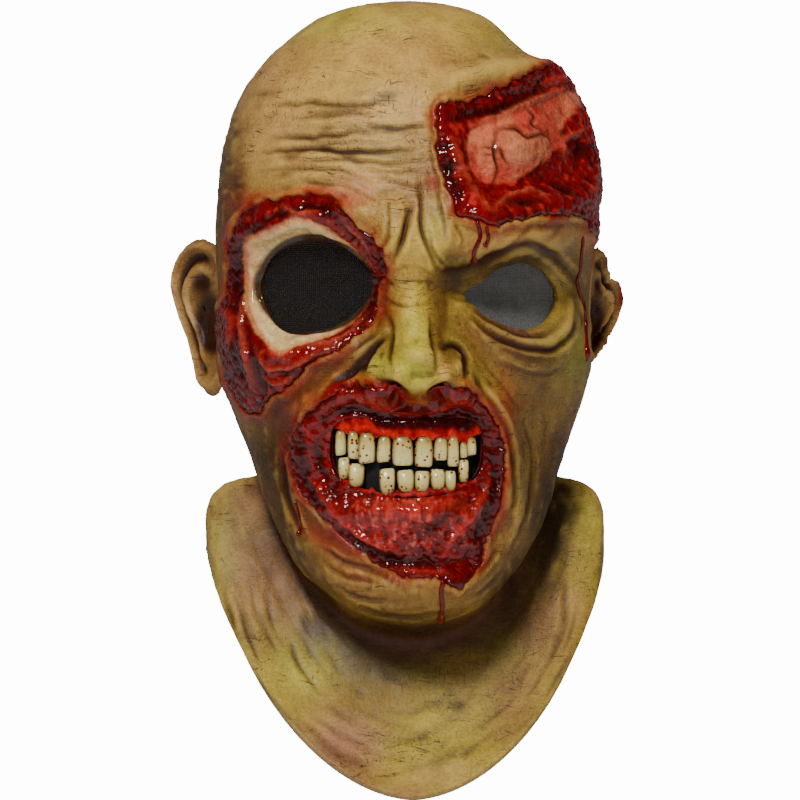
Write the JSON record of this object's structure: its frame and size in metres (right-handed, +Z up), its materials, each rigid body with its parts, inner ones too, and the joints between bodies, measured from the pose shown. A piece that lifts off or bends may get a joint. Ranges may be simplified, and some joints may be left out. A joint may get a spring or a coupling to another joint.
{
  "type": "horror mask",
  "caption": "Full over-the-head latex horror mask of an undead man's head, hollow, with ears, torn wounds, bared teeth, net eye panels and a pointed bib.",
  "frame": {"origin": "inside of the crown, where the wearer's head carries the mask", "axes": "+Z up, the face looks along -Y, +X to the viewer's right"},
  "size_m": [0.2301, 0.2485, 0.3919],
  "materials": {
    "latex": "satin olive latex, painted",
    "eye_net": "fine dark net",
    "teeth": "glossy cream teeth in dark red gums"
  },
  "bodies": {
    "root": {"mask_shell": "latex", "left_eye_net": "eye_net", "right_eye_net": "eye_net", "upper_teeth": "teeth", "lower_teeth": "teeth"}
  },
  "joints": []
}
